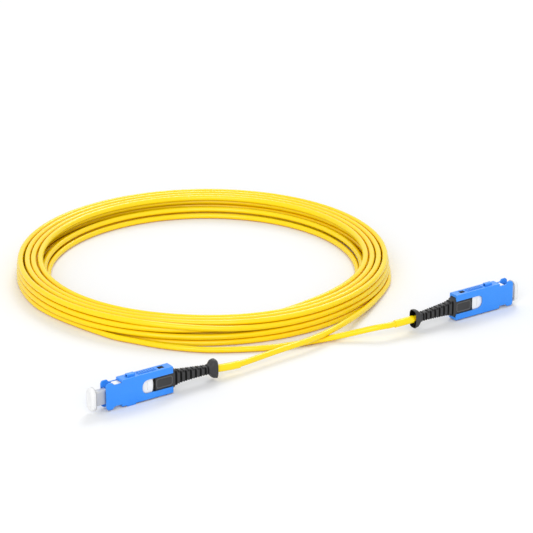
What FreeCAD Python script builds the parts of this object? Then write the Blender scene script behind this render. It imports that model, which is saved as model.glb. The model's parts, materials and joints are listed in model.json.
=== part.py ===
import FreeCAD, Part
import math
import os
from types import SimpleNamespace

import Sketcher

# Duplex fibre patch cable: two very narrow push-pull plugs stand on their thin edge, and the
# two-fibre cable between them lies in a round coil.
# Each plug is drawn about its own axis: x runs back from the housing's front edge towards the
# cable, y across the thin side and z up. Both plugs take the same pieces, half a turn apart, and
# the dust cap of plug a stands further out than that of plug b.

os.makedirs("parts", exist_ok=True)
document = FreeCAD.newDocument("fibre_patch_cable")

driving_sizes = {
    # outer housing
    "housing_length": 24.2,
    "housing_height": 9.0,
    "housing_width": 3.7,
    "housing_corner": 0.3,
    "side_wall": 0.5,
    "roof_wall": 0.95,
    "lobe_corner": 1.2,
    "lobe_length": 1.7,
    "notch_ease": 0.8,
    "mouth_length": 5.7,
    "side_slot_length": 11.2,
    "side_slot_height": 4.6,
    "side_slot_corner": 2.0,
    "window_inset": 4.6,
    "window_length": 2.1,
    "window_width": 1.7,
    "key_start": 8.3,
    "key_length": 2.7,
    "key_width": 1.6,
    "key_height": 0.8,
    "key_tunnel_width": 0.8,
    "key_tunnel_height": 0.45,
    "rail_gap": 1.2,
    "rail_margin": 0.8,
    "rail_width": 1.5,
    "rail_height": 0.18,
    "rib_length": 0.32,
    "rib_height": 0.16,
    "foot_start": 7.3,
    "foot_length": 3.2,
    "foot_width": 1.2,
    "foot_height": 0.3,
    # dust cap
    "cap_flange_height": 7.4,
    "cap_flange_width": 4.2,
    "cap_flange_length": 1.4,
    "cap_flange_corner": 1.9,
    "cap_neck_reach": 0.85,
    "cap_neck_height": 4.9,
    "cap_neck_corner": 0.7,
    "cap_bore_floor": 1.2,
    "cap_drawn": 2.75,
    # front body and its two ferrules
    "body_start": 3.4,
    "body_inset": 7.0,
    "body_bulge": 0.9,
    "body_mark_inset": 2.3,
    "body_mark_length": 0.35,
    "body_mark_height": 2.6,
    "body_mark_depth": 0.12,
    "ferrule_pitch": 3.1,
    "ferrule_diameter": 1.25,
    "ferrule_tip": -0.6,
    "ferrule_chamfer": 0.15,
    "ferrule_hole": 1.7,
    "shoulder_at": 6.0,
    "flange_diameter": 1.9,
    "flange_length": 2.5,
    "stub_diameter": 0.9,
    "stub_bore": 0.4,
    # springs and back body
    "spring_wire": 0.22,
    "spring_pitch": 1.04,
    "spring_margin": 0.15,
    "seat_length": 3.7,
    "seat_bore": 0.6,
    "back_length": 3.0,
    "back_height": 5.4,
    "back_width": 2.4,
    "post_diameter": 2.0,
    "post_bore": 1.2,
    "post_length": 2.7,
    "chamber_width": 1.2,
    "chamber_wall": 0.5,
    "chamber_height": 3.9,
    # crimp ring, cable and sleeve
    "ring_gap": 0.2,
    "ring_length": 3.7,
    "ring_diameter": 2.56,
    "cable_diameter": 2.0,
    "fibre_diameter": 0.25,
    "fibre_spacing": 0.5,
    "fan_margin": 0.4,
    "sleeve_diameter": 2.5,
    "sleeve_reach": 12.2,
    # boot
    "boot_width": 3.3,
    "boot_bevel": 0.55,
    "boot_root_margin": 0.15,
    "boot_root_length": 3.1,
    "boot_neck_step": 1.25,
    "boot_tail_height": 2.9,
    "boot_taper_length": 10.6,
    "boot_block_length": 1.8,
    "cheek_inside": 1.33,
    "cheek_gap": 0.2,
    "arm_length": 3.2,
    "arm_thickness": 0.45,
    "arm_width": 2.2,
    "catch_clearance": 0.12,
    "catch_sink": 0.4,
    "ring_cavity_margin": 0.3,
    "groove_margin": 0.9,
    "groove_pitch": 1.75,
    "groove_width": 0.6,
    "side_groove_depth": 0.4,
    "roof_groove_depth": 0.25,
    "collar_length": 3.0,
    "collar_radius": 2.9,
    "collar_lip": 0.4,
    "collar_neck_radius": 1.75,
    "collar_bend": 1.4,
    "collar_bend_radius": 2.0,
    "collar_cup_radius": 1.4,
    "collar_width": 3.8,
    "cup_wall": 0.35,
    "cup_rim": 0.7,
    "cup_corner": 1.4,
    "cup_depth": 1.0,
    # clearances and travels
    "running_clearance": 0.025,
    "plug_clearance": 0.1,
    "seat_clearance": 0.02,
    "joint_gap": 0.1,
    "release_travel": 2.0,
    # places
    "plug_a_x": -64.965,
    "plug_a_y": -41.744,
    "plug_b_x": 67.235,
    "plug_b_y": 43.296,
    "plug_yaw": 34.34,
    "coil_x": -37.065,
    "coil_y": 72.026,
    "coil_bottom_outside": 65.06,
    "coil_bottom_inside": 52.99,
    "coil_top_outside": 64.45,
    "coil_top_inside": 55.67,
    "coil_height": 8.1,
}

rail_ribs = 8
side_grooves = 8
roof_grooves = 7
spring_steps_a_turn = 8
stub_share = 0.6
fibre_sides = 8


class Size:
    # A length with the sheet expression that gives it.
    def __init__(self, number, formula):
        self.number = number
        self.formula = formula

    def __add__(self, other):
        other = as_size(other)
        return Size(self.number + other.number, f"({self.formula} + {other.formula})")

    def __sub__(self, other):
        other = as_size(other)
        return Size(self.number - other.number, f"({self.formula} - {other.formula})")

    def __mul__(self, other):
        other = as_size(other)
        return Size(self.number * other.number, f"({self.formula} * {other.formula})")

    def __truediv__(self, other):
        other = as_size(other)
        return Size(self.number / other.number, f"({self.formula} / {other.formula})")

    def __radd__(self, other):
        return as_size(other) + self

    def __rsub__(self, other):
        return as_size(other) - self

    def __rmul__(self, other):
        return as_size(other) * self

    def __neg__(self):
        return Size(-self.number, f"(0 - {self.formula})")


def as_size(value):
    if isinstance(value, Size):
        return value
    return Size(float(value), repr(float(value)))


def make_sheet():
    sheet = document.addObject("Spreadsheet::Sheet", "dims")
    named = {}
    for row, (name, value) in enumerate(driving_sizes.items(), start=1):
        sheet.set(f"A{row}", name)
        sheet.set(f"B{row}", str(value))
        sheet.setAlias(f"B{row}", name)
        named[name] = Size(value, f"dims.{name}")
    document.recompute()
    return SimpleNamespace(**named)


dims = make_sheet()
pieces = {}

# heights inside the housing, and where things stand along the plug, measured from its rear edge
at = SimpleNamespace()
at.ceiling = dims.housing_height / 2 - dims.roof_wall
at.root_half = at.ceiling - dims.boot_root_margin
at.neck_half = at.root_half - dims.boot_neck_step
at.side_slot_start = dims.housing_length - dims.side_slot_length
at.window_start = dims.housing_length - dims.window_inset
at.rail_start = dims.key_start + dims.key_length + dims.rail_gap
at.rail_length = at.window_start - dims.rail_margin - at.rail_start
at.rib_pitch = (at.rail_length - dims.rib_length * 3) / (rail_ribs - 1)
at.body_end = dims.housing_length - dims.body_inset
at.body_mark_start = at.body_end - dims.body_mark_inset
at.seat_start = at.body_end - dims.seat_length
at.flange_front = dims.shoulder_at + dims.seat_clearance
at.flange_back = at.flange_front + dims.flange_length
at.stub_end = at.flange_back + (at.seat_start - at.flange_back) * stub_share
at.back_start = at.body_end + dims.joint_gap
at.back_end = at.back_start + dims.back_length
at.post_end = at.back_end + dims.post_length
at.ring_start = at.back_end + dims.ring_gap
at.ring_end = at.ring_start + dims.ring_length
at.root = dims.housing_length + dims.joint_gap
at.neck = at.root + dims.boot_root_length
at.tail = at.neck + dims.boot_taper_length
at.block_start = at.root - dims.boot_block_length
at.sleeve_end = at.tail + dims.sleeve_reach


def bind(item, place, size):
    size = as_size(size)
    item.setExpression(place, size.formula)


def edge_between(start, end, radius):
    low = FreeCAD.Vector(start[0].number, start[1].number, 0)
    high = FreeCAD.Vector(end[0].number, end[1].number, 0)
    if radius is None:
        return Part.LineSegment(low, high), 1, 2
    chord = high - low
    left = FreeCAD.Vector(-chord.y, chord.x, 0).normalize()
    reach = math.sqrt(radius.number ** 2 - chord.Length ** 2 / 4)
    side = 1 if radius.number > 0 else -1
    centre = (low + high) * 0.5 + left * reach * side
    circle = Part.Circle(centre, FreeCAD.Vector(0, 0, 1), abs(radius.number))
    from_angle = math.atan2(low.y - centre.y, low.x - centre.x)
    to_angle = math.atan2(high.y - centre.y, high.x - centre.x)
    if side > 0:
        return Part.ArcOfCircle(circle, from_angle, to_angle), 1, 2
    return Part.ArcOfCircle(circle, to_angle, from_angle), 2, 1


def fix_point(drawing, index, vertex, x, y):
    across = drawing.addConstraint(Sketcher.Constraint("DistanceX", -1, 1, index, vertex, x.number))
    bind(drawing, f"Constraints[{across}]", x)
    up = drawing.addConstraint(Sketcher.Constraint("DistanceY", -1, 1, index, vertex, y.number))
    bind(drawing, f"Constraints[{up}]", y)


def fix_radius(drawing, index, radius):
    across = drawing.addConstraint(Sketcher.Constraint("Radius", index, abs(radius.number)))
    bind(drawing, f"Constraints[{across}]", radius if radius.number > 0 else -radius)


def draw_loop(drawing, corners):
    # A corner is (x, y) before a straight edge, or (x, y, radius) before an arc that turns
    # anticlockwise, or clockwise where the radius is negative.
    first = drawing.GeometryCount
    corners = [[as_size(value) for value in corner] for corner in corners]
    ends = []
    for corner, following in zip(corners, corners[1:] + corners[:1]):
        radius = corner[2] if len(corner) == 3 else None
        edge, start_vertex, end_vertex = edge_between(corner, following, radius)
        drawing.addGeometry(edge)
        ends.append((start_vertex, end_vertex))
    for step, corner in enumerate(corners):
        here = first + step
        following = (step + 1) % len(corners)
        drawing.addConstraint(
            Sketcher.Constraint("Coincident", here, ends[step][1], first + following, ends[following][0])
        )
        fix_point(drawing, here, ends[step][0], corner[0], corner[1])
        if len(corner) == 3:
            fix_radius(drawing, here, corner[2])


def draw_circle(drawing, x, y, radius):
    x, y, radius = as_size(x), as_size(y), as_size(radius)
    centre = FreeCAD.Vector(x.number, y.number, 0)
    index = drawing.addGeometry(Part.Circle(centre, FreeCAD.Vector(0, 0, 1), radius.number))
    fix_point(drawing, index, 3, x, y)
    fix_radius(drawing, index, radius)


def rectangle(x_low, x_high, y_low, y_high):
    return [(x_low, y_low), (x_high, y_low), (x_high, y_high), (x_low, y_high)]


def rounded_rectangle(half_x, half_y, radius):
    flat_x = half_x - radius
    flat_y = half_y - radius
    return [
        (-flat_x, -half_y),
        (flat_x, -half_y, radius),
        (half_x, -flat_y),
        (half_x, flat_y, radius),
        (flat_x, half_y),
        (-flat_x, half_y, radius),
        (-half_x, flat_y),
        (-half_x, -flat_y, radius),
    ]


def flipped(corners):
    # The same loop mirrored top to bottom: its arcs turn the other way.
    return [(corner[0], -corner[1]) + tuple(-radius for radius in corner[2:]) for corner in corners]


def origin_item(body, role):
    return next(item for item in body.Origin.OriginFeatures if item.Role == role)


def start_body(name):
    body = document.addObject("PartDesign::Body", name)
    body.Label = name
    return body


def draw(body, plane, name, loops=(), circles=(), offset=None):
    drawing = body.newObject("Sketcher::SketchObject", f"{body.Name}_{name}")
    drawing.AttachmentSupport = (origin_item(body, plane), [""])
    drawing.MapMode = "FlatFace"
    if offset is not None:
        bind(drawing, "AttachmentOffset.Base.z", offset)
    for loop in loops:
        draw_loop(drawing, loop)
    for x, y, radius in circles:
        draw_circle(drawing, x, y, radius)
    return drawing


def settle(body, before, grows):
    document.recompute()
    change = body.Shape.Volume - before
    if (change > 0) != grows or abs(change) < 1e-6:
        raise RuntimeError(f"{body.Name}: {body.Tip.Name} changed the volume by {change:.4f}")


def extrude(kind, body, drawing, length, both_ways, backwards):
    before = body.Shape.Volume if body.Tip else 0.0
    feature = body.newObject(f"PartDesign::{kind}", f"{drawing.Name}_{kind.lower()}")
    feature.Profile = drawing
    if length is None:
        feature.Type = "ThroughAll"
    else:
        bind(feature, "Length", length)
    if both_ways:
        feature.SideType = "Symmetric"
    feature.Reversed = backwards
    drawing.Visibility = False
    settle(body, before, kind == "Pad")
    return feature


def pad(body, drawing, length, both_ways=False, backwards=False):
    return extrude("Pad", body, drawing, length, both_ways, backwards)


def pocket(body, drawing, length=None, both_ways=False, backwards=False):
    return extrude("Pocket", body, drawing, length, both_ways, backwards)


def revolve(body, drawing, axis):
    before = body.Shape.Volume if body.Tip else 0.0
    feature = body.newObject("PartDesign::Revolution", f"{drawing.Name}_turned")
    feature.Profile = drawing
    feature.ReferenceAxis = (drawing, [axis])
    feature.Angle = 360.0
    settle(body, before, True)
    return feature


def bevel_long_edges(body, feature, size):
    # Bevels the edges that run mainly along x.
    before = body.Shape.Volume
    long_edges = []
    for number, edge in enumerate(feature.Shape.Edges, start=1):
        run = edge.lastVertex().Point - edge.firstVertex().Point
        if abs(run.x) > abs(run.y) + abs(run.z):
            long_edges.append(f"Edge{number}")
    bevel = body.newObject("PartDesign::Chamfer", f"{feature.Name}_bevel")
    bevel.Base = (feature, long_edges)
    bind(bevel, "Size", size)
    settle(body, before, False)


def repeat_along_x(body, feature, pitch, count, grows):
    before = body.Shape.Volume
    pattern = body.newObject("PartDesign::LinearPattern", f"{feature.Name}_row")
    pattern.Originals = [feature]
    pattern.Direction = (origin_item(body, "X_Axis"), [""])
    bind(pattern, "Length", pitch * (count - 1))
    pattern.Occurrences = count
    body.Tip = pattern
    settle(body, before, grows)
    return pattern


def keep(item, name, end, forward=0):
    # Seats a finished piece on its plug's axis, or further forward, and keeps it for export.
    item.Label = name
    turn = dims.plug_yaw + end.turn
    bearing = math.radians(turn.number)
    along_x = Size(math.cos(bearing), f"cos({turn.formula} * 1 deg)")
    along_y = Size(math.sin(bearing), f"sin({turn.formula} * 1 deg)")
    place_x = end.nose_x - along_x * forward
    place_y = end.nose_y - along_y * forward
    height = dims.foot_height + dims.housing_height / 2
    item.Placement = FreeCAD.Placement(
        FreeCAD.Vector(place_x.number, place_y.number, height.number),
        FreeCAD.Rotation(FreeCAD.Vector(0, 0, 1), turn.number),
    )
    bind(item, "Placement.Base.x", place_x)
    bind(item, "Placement.Base.y", place_y)
    bind(item, "Placement.Base.z", height)
    item.setExpression("Placement.Rotation.Angle", f"{turn.formula} * 1 deg")
    pieces[name] = item


def outer_housing(end):
    name = f"outer_housing_{end.letter}"
    body = start_body(name)
    half_height = dims.housing_height / 2
    half_width = dims.housing_width / 2
    inside_height = at.ceiling
    inside_width = half_width - dims.side_wall
    beyond = half_height + 1

    block = draw(body, "YZ_Plane", "block",
                 [rounded_rectangle(half_width, half_height, dims.housing_corner)])
    pad(body, block, dims.housing_length)

    # rectangular tunnel, open at both ends, and a mouth where roof and floor start further back
    tunnel = draw(body, "YZ_Plane", "tunnel",
                  [rectangle(-inside_width, inside_width, -inside_height, inside_height)])
    pocket(body, tunnel, None, backwards=True)
    mouth = draw(body, "YZ_Plane", "mouth",
                 [rectangle(-inside_width, inside_width, -beyond, beyond)])
    pocket(body, mouth, dims.mouth_length, backwards=True)

    # each side wall ends in a rounded lobe, then waves down to the roof's underside
    drop = dims.roof_wall / 2
    wave = (dims.notch_ease * dims.notch_ease + drop * drop) / (2 * drop)
    wave_top = dims.lobe_length
    wave_middle = wave_top + dims.notch_ease
    wave_foot = wave_middle + dims.notch_ease
    upper = [
        (-1, half_height - dims.lobe_corner),
        (0, half_height - dims.lobe_corner, -dims.lobe_corner),
        (dims.lobe_corner, half_height),
        (wave_top, half_height, -wave),
        (wave_middle, half_height - drop, wave),
        (wave_foot, inside_height),
        (dims.mouth_length, inside_height),
        (dims.mouth_length, beyond),
        (-1, beyond),
    ]
    waves = draw(body, "XZ_Plane", "waves", [upper, flipped(upper)])
    pocket(body, waves, None, both_ways=True)

    # slot in both side walls, open to the rear
    slot_half = dims.side_slot_height / 2
    slot_flat = slot_half - dims.side_slot_corner
    slot_end = dims.housing_length + 1
    straight = at.side_slot_start + dims.side_slot_corner
    slot = draw(body, "XZ_Plane", "side_slot", [[
        (straight, -slot_half),
        (slot_end, -slot_half),
        (slot_end, slot_half),
        (straight, slot_half, dims.side_slot_corner),
        (at.side_slot_start, slot_flat),
        (at.side_slot_start, -slot_flat, dims.side_slot_corner),
    ]])
    pocket(body, slot, None, both_ways=True)

    window_half = dims.window_width / 2
    window = draw(body, "XY_Plane", "window", [rectangle(
        at.window_start, at.window_start + dims.window_length, -window_half, window_half,
    )], offset=half_height + 1)
    pocket(body, window, dims.roof_wall + 1.1)

    # hollow key block, ribbed rail and, below, the small foot that the plug stands on
    key_half = dims.key_width / 2
    tunnel_half = dims.key_tunnel_width / 2
    key = draw(body, "YZ_Plane", "key", [[
        (-key_half, half_height),
        (-tunnel_half, half_height),
        (-tunnel_half, half_height + dims.key_tunnel_height),
        (tunnel_half, half_height + dims.key_tunnel_height),
        (tunnel_half, half_height),
        (key_half, half_height),
        (key_half, half_height + dims.key_height - dims.housing_corner, dims.housing_corner),
        (key_half - dims.housing_corner, half_height + dims.key_height),
        (dims.housing_corner - key_half, half_height + dims.key_height, dims.housing_corner),
        (-key_half, half_height + dims.key_height - dims.housing_corner),
    ]], offset=dims.key_start)
    pad(body, key, dims.key_length)

    rail_half = dims.rail_width / 2
    rail = draw(body, "XY_Plane", "rail", [rectangle(
        at.rail_start, at.rail_start + at.rail_length, -rail_half, rail_half,
    )], offset=half_height)
    pad(body, rail, dims.rail_height)
    rib_start = at.rail_start + dims.rib_length
    rib = draw(body, "XY_Plane", "rib", [rectangle(
        rib_start, rib_start + dims.rib_length, -rail_half, rail_half,
    )], offset=half_height + dims.rail_height)
    rib_pad = pad(body, rib, dims.rib_height)
    repeat_along_x(body, rib_pad, at.rib_pitch, rail_ribs, True)

    foot = draw(body, "XY_Plane", "foot", [rectangle(
        dims.foot_start, dims.foot_start + dims.foot_length, -half_width, dims.foot_width - half_width,
    )], offset=dims.housing_corner - half_height)
    pad(body, foot, dims.foot_height + dims.housing_corner, backwards=True)
    keep(body, name, end)


def dust_cap(end):
    name = f"dust_cap_{end.letter}"
    body = start_body(name)
    neck_width = dims.housing_width / 2 - dims.side_wall - dims.plug_clearance
    flange_front = dims.cap_neck_reach + dims.cap_flange_length
    flange = draw(body, "YZ_Plane", "flange", [rounded_rectangle(
        dims.cap_flange_width / 2, dims.cap_flange_height / 2, dims.cap_flange_corner,
    )], offset=-flange_front)
    pad(body, flange, dims.cap_flange_length)
    neck = draw(body, "YZ_Plane", "neck", [rounded_rectangle(
        neck_width, dims.cap_neck_height / 2, dims.cap_neck_corner,
    )], offset=-dims.cap_neck_reach)
    pad(body, neck, dims.cap_neck_reach + dims.body_start - dims.joint_gap)
    bore = dims.ferrule_diameter / 2 + dims.running_clearance
    pitch = dims.ferrule_pitch / 2
    bores = draw(body, "YZ_Plane", "bores", circles=[(0, pitch, bore), (0, -pitch, bore)],
                 offset=-dims.cap_bore_floor)
    pocket(body, bores, None, backwards=True)
    keep(body, name, end, end.cap_forward)


def front_body(end):
    name = f"front_body_{end.letter}"
    body = start_body(name)
    half_height = at.ceiling - dims.plug_clearance
    half_width = dims.housing_width / 2 - dims.side_wall - dims.plug_clearance
    bulge = (half_height * half_height + dims.body_bulge * dims.body_bulge) / (2 * dims.body_bulge)
    corner_at = at.body_end - dims.body_bulge
    side = draw(body, "XZ_Plane", "side", [[
        (dims.body_start, -half_height),
        (corner_at, -half_height, bulge),
        (corner_at, half_height),
        (dims.body_start, half_height),
    ]])
    pad(body, side, half_width * 2, both_ways=True)
    pitch = dims.ferrule_pitch / 2
    hole = dims.ferrule_hole / 2
    holes = draw(body, "YZ_Plane", "holes", circles=[(0, pitch, hole), (0, -pitch, hole)])
    pocket(body, holes, None, backwards=True)
    channel = dims.flange_diameter / 2 + dims.running_clearance * 2
    channels = draw(body, "YZ_Plane", "channels", circles=[(0, pitch, channel), (0, -pitch, channel)],
                    offset=dims.shoulder_at)
    pocket(body, channels, None, backwards=True)
    mark_half = dims.body_mark_height / 2
    mark_end = at.body_mark_start + dims.body_mark_length
    for side_name, face_at, inwards in (("near", half_width, False), ("far", -half_width, True)):
        mark = draw(body, "XZ_Plane", f"{side_name}_mark", [rectangle(
            at.body_mark_start, mark_end, -mark_half, mark_half,
        )], offset=face_at)
        pocket(body, mark, dims.body_mark_depth, backwards=inwards)
    keep(body, name, end)


def ferrule(end, level, side):
    name = f"ferrule_{level}_{end.letter}"
    body = start_body(name)
    radius = dims.ferrule_diameter / 2
    axis = dims.ferrule_pitch / 2 * side
    profile = draw(body, "XZ_Plane", "profile", [[
        (dims.ferrule_tip, 0),
        (at.flange_front, 0),
        (at.flange_front, dims.stub_bore / 2),
        (at.stub_end, dims.stub_bore / 2),
        (at.stub_end, dims.stub_diameter / 2),
        (at.flange_back, dims.stub_diameter / 2),
        (at.flange_back, dims.flange_diameter / 2),
        (at.flange_front, dims.flange_diameter / 2),
        (at.flange_front, radius),
        (dims.ferrule_tip + dims.ferrule_chamfer, radius),
        (dims.ferrule_tip, radius - dims.ferrule_chamfer),
    ]])
    bind(profile, "AttachmentOffset.Base.y", axis)
    revolve(body, profile, "H_Axis")
    keep(body, name, end)


def mitred(points, section):
    # A closed section carried along straight runs; the 1 asks for mitred corners.
    return Part.makePolygon(points).makePipeShell([section], True, False, 1)


def spring(end, level, side):
    # A coil spring of square wire between the ferrule's flange and the back body's seat.
    name = f"spring_{level}_{end.letter}"
    half_wire = dims.spring_wire.number / 2
    start = (at.flange_back + dims.spring_margin).number
    finish = (at.seat_start - dims.spring_margin).number
    radius = dims.flange_diameter.number / 2 - dims.running_clearance.number - half_wire
    axis = FreeCAD.Vector(0, 0, dims.ferrule_pitch.number / 2 * side)
    steps = round((finish - start) / dims.spring_pitch.number * spring_steps_a_turn)
    points = []
    for step in range(steps + 1):
        angle = 2 * math.pi * step / spring_steps_a_turn
        along = start + (finish - start) * step / steps
        points.append(axis + FreeCAD.Vector(along, radius * math.sin(angle), radius * math.cos(angle)))
    heading = points[1] - points[0]
    sideways = heading.cross(FreeCAD.Vector(0, 0, 1)).normalize() * half_wire
    upwards = sideways.cross(heading).normalize() * half_wire
    corners = [points[0] + sideways * x + upwards * y for x, y in ((1, 1), (-1, 1), (-1, -1), (1, -1))]
    item = document.addObject("Part::Feature", name)
    item.Shape = mitred(points, Part.makePolygon(corners + corners[:1]))
    keep(item, name, end)


def back_body(end):
    name = f"back_body_{end.letter}"
    body = start_body(name)
    half_height = dims.back_height / 2
    block = draw(body, "YZ_Plane", "block", [rectangle(
        -dims.back_width / 2, dims.back_width / 2, -half_height, half_height,
    )], offset=at.back_start)
    pad(body, block, dims.back_length)
    pitch = dims.ferrule_pitch / 2
    seat = dims.flange_diameter / 2
    seats = draw(body, "YZ_Plane", "seats", circles=[(0, pitch, seat), (0, -pitch, seat)],
                 offset=at.seat_start)
    pad(body, seats, at.back_start - at.seat_start)
    post = draw(body, "YZ_Plane", "post", circles=[(0, 0, dims.post_diameter / 2)],
                offset=at.back_end)
    pad(body, post, dims.post_length)
    # fibre ways: a bore in each seat, a flat chamber that narrows, and the post's bore
    bore = dims.seat_bore / 2
    ways = draw(body, "YZ_Plane", "ways", circles=[(0, pitch, bore), (0, -pitch, bore)],
                offset=at.seat_start)
    pocket(body, ways, dims.seat_length + dims.joint_gap + dims.chamber_wall * 2, backwards=True)
    chamber_half = dims.chamber_height / 2
    post_half = dims.post_bore / 2
    chamber_start = at.back_start + dims.chamber_wall
    chamber = draw(body, "XZ_Plane", "chamber", [[
        (chamber_start, -chamber_half),
        (chamber_start + dims.chamber_wall, -chamber_half),
        (at.back_end, -post_half),
        (at.back_end, post_half),
        (chamber_start + dims.chamber_wall, chamber_half),
        (chamber_start, chamber_half),
    ]])
    pocket(body, chamber, dims.chamber_width, both_ways=True)
    through = draw(body, "YZ_Plane", "through", circles=[(0, 0, post_half)], offset=at.back_end - 1)
    pocket(body, through, dims.post_length + 2, backwards=True)
    keep(body, name, end)


def turned_tube(name, end, start, finish, outside, inside):
    body = start_body(name)
    profile = draw(body, "XZ_Plane", "profile", [rectangle(start, finish, inside, outside)])
    revolve(body, profile, "H_Axis")
    keep(body, name, end)


def crimp_ring(end):
    turned_tube(
        f"crimp_ring_{end.letter}", end, at.ring_start, at.ring_end, dims.ring_diameter / 2,
        dims.post_diameter / 2 + dims.seat_clearance,
    )


def sleeve(end):
    start = at.tail + dims.release_travel + dims.joint_gap
    turned_tube(
        f"cable_sleeve_{end.letter}", end, start, at.sleeve_end, dims.sleeve_diameter / 2,
        dims.cable_diameter / 2 + dims.seat_clearance,
    )


def cable_end(end):
    # The cable's straight end, from the post's face to the sleeve's rear face.
    name = f"cable_end_{end.letter}"
    body = start_body(name)
    disc = draw(body, "YZ_Plane", "disc", circles=[(0, 0, dims.cable_diameter / 2)],
                offset=at.post_end)
    pad(body, disc, at.sleeve_end - at.post_end)
    keep(body, name, end)


def boot_half_height(x):
    # Half the boot's height at x, on its long even taper.
    fall = (at.neck_half - dims.boot_tail_height / 2) / dims.boot_taper_length
    return at.neck_half - fall * (x - at.neck)


def boot(end):
    name = f"boot_{end.letter}"
    body = start_body(name)
    half_width = dims.boot_width / 2

    # side outline: short steep root, then one long even taper; its long edges are bevelled
    tail_half = dims.boot_tail_height / 2
    side = draw(body, "XZ_Plane", "side", [[
        (at.root, -at.root_half),
        (at.neck, -at.neck_half),
        (at.tail, -tail_half),
        (at.tail, tail_half),
        (at.neck, at.neck_half),
        (at.root, at.root_half),
    ]])
    taper = pad(body, side, dims.boot_width, both_ways=True)
    bevel_long_edges(body, taper, dims.boot_bevel)

    # block inside the housing, a cheek in each side slot, two arms and the window's catch
    block_width = dims.housing_width / 2 - dims.side_wall - dims.plug_clearance
    block = draw(body, "YZ_Plane", "block",
                 [rectangle(-block_width, block_width, -at.root_half, at.root_half)],
                 offset=at.block_start)
    pad(body, block, dims.boot_block_length)
    cheek_half = dims.side_slot_height / 2 - dims.cheek_gap
    cheek_start = at.body_end + dims.cheek_gap
    cheeks = draw(body, "YZ_Plane", "cheeks", [
        rectangle(dims.cheek_inside, half_width, -cheek_half, cheek_half),
        rectangle(-half_width, -dims.cheek_inside, -cheek_half, cheek_half),
    ], offset=cheek_start)
    pad(body, cheeks, at.root - cheek_start)
    arm_half = dims.arm_width / 2
    arm_inside = at.root_half - dims.arm_thickness
    arms = draw(body, "YZ_Plane", "arms", [
        rectangle(-arm_half, arm_half, arm_inside, at.root_half),
        rectangle(-arm_half, arm_half, -at.root_half, -arm_inside),
    ], offset=at.block_start - dims.arm_length)
    pad(body, arms, dims.arm_length)
    catch_half = dims.window_width / 2 - dims.catch_clearance
    catch_start = at.window_start + dims.catch_clearance
    catch_end = at.window_start + dims.window_length - dims.catch_clearance
    catch = draw(body, "XY_Plane", "catch",
                 [rectangle(catch_start, catch_end, -catch_half, catch_half)],
                 offset=at.root_half)
    pad(body, catch, dims.housing_height / 2 - dims.catch_sink - at.root_half)

    # flared collar, cut flat on both sides; it widens in two steps to a straight lip, and an
    # oval cup in its end takes the cable's sleeve
    neck_at = at.tail - dims.collar_lip
    bend_at = at.tail + dims.collar_bend
    rim_at = at.tail + dims.collar_length
    bell = draw(body, "XZ_Plane", "bell", [[
        (neck_at, dims.cable_diameter / 2),
        (at.tail, dims.cable_diameter / 2),
        (at.tail, dims.collar_cup_radius),
        (rim_at, dims.collar_cup_radius),
        (rim_at, dims.collar_radius),
        (rim_at - dims.collar_lip, dims.collar_radius),
        (bend_at, dims.collar_bend_radius),
        (neck_at, dims.collar_neck_radius),
    ]])
    revolve(body, bell, "H_Axis")
    flat = dims.collar_width / 2
    beyond = dims.collar_radius + 1
    flats = draw(body, "XY_Plane", "flats", [
        rectangle(neck_at, rim_at + 1, flat, beyond),
        rectangle(neck_at, rim_at + 1, -beyond, -flat),
    ])
    pocket(body, flats, None, both_ways=True)
    cup = draw(body, "YZ_Plane", "cup", [rounded_rectangle(
        flat - dims.cup_wall, dims.collar_radius - dims.cup_rim, dims.cup_corner,
    )], offset=rim_at)
    pocket(body, cup, dims.cup_depth)

    # the cable's way through, wider at the front round the crimp ring
    way = draw(body, "YZ_Plane", "way",
               circles=[(0, 0, dims.cable_diameter / 2 + dims.running_clearance * 2)],
               offset=at.block_start)
    pocket(body, way, at.tail - at.block_start + 1, backwards=True)
    cavity = draw(body, "YZ_Plane", "ring_cavity",
                  circles=[(0, 0, dims.ring_diameter / 2 + dims.running_clearance * 2)],
                  offset=at.block_start)
    pocket(body, cavity, at.ring_end + dims.ring_cavity_margin - at.block_start, backwards=True)

    # flexing grooves: one row down both sides, the other half a pitch on, over roof and floor
    groove_half = dims.groove_width / 2
    groove_floor = half_width - dims.side_groove_depth
    outside = half_width + 1
    first = at.root + dims.groove_margin
    side_groove = draw(body, "XY_Plane", "side_groove", [
        rectangle(first - groove_half, first + groove_half, groove_floor, outside),
        rectangle(first - groove_half, first + groove_half, -outside, -groove_floor),
    ])
    first_groove = pocket(body, side_groove, None, both_ways=True)
    repeat_along_x(body, first_groove, dims.groove_pitch, side_grooves, False)
    roof_loops = []
    for step in range(roof_grooves):
        middle = first + dims.groove_pitch * (step + 0.5)
        floor = boot_half_height(middle) - dims.roof_groove_depth
        upper = rectangle(middle - groove_half, middle + groove_half, floor, at.root_half + 1)
        roof_loops += [upper, flipped(upper)]
    roof_groove = draw(body, "XZ_Plane", "roof_groove", roof_loops)
    pocket(body, roof_groove, None, both_ways=True)
    keep(body, name, end)


def route_wire(points):
    # Straight runs joined by tangent arcs, each as large as its two runs allow.
    points = [FreeCAD.Vector(*point) for point in points]
    edges = []
    radii = []
    last = points[0]
    for before, corner, after in zip(points, points[1:], points[2:]):
        back = before - corner
        on = after - corner
        turn = math.pi - back.getAngle(on)
        tangent = 0.45 * min(back.Length, on.Length)
        radius = tangent / math.tan(turn / 2)
        back.normalize()
        on.normalize()
        middle_way = (back + on).normalize()
        sink = radius / math.cos(turn / 2) - radius
        start = corner + back * tangent
        finish = corner + on * tangent
        edges.append(Part.LineSegment(last, start).toShape())
        edges.append(Part.Arc(start, corner + middle_way * sink, finish).toShape())
        radii.append(radius)
        last = finish
    edges.append(Part.LineSegment(last, points[-1]).toShape())
    return Part.Wire(edges), radii


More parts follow.
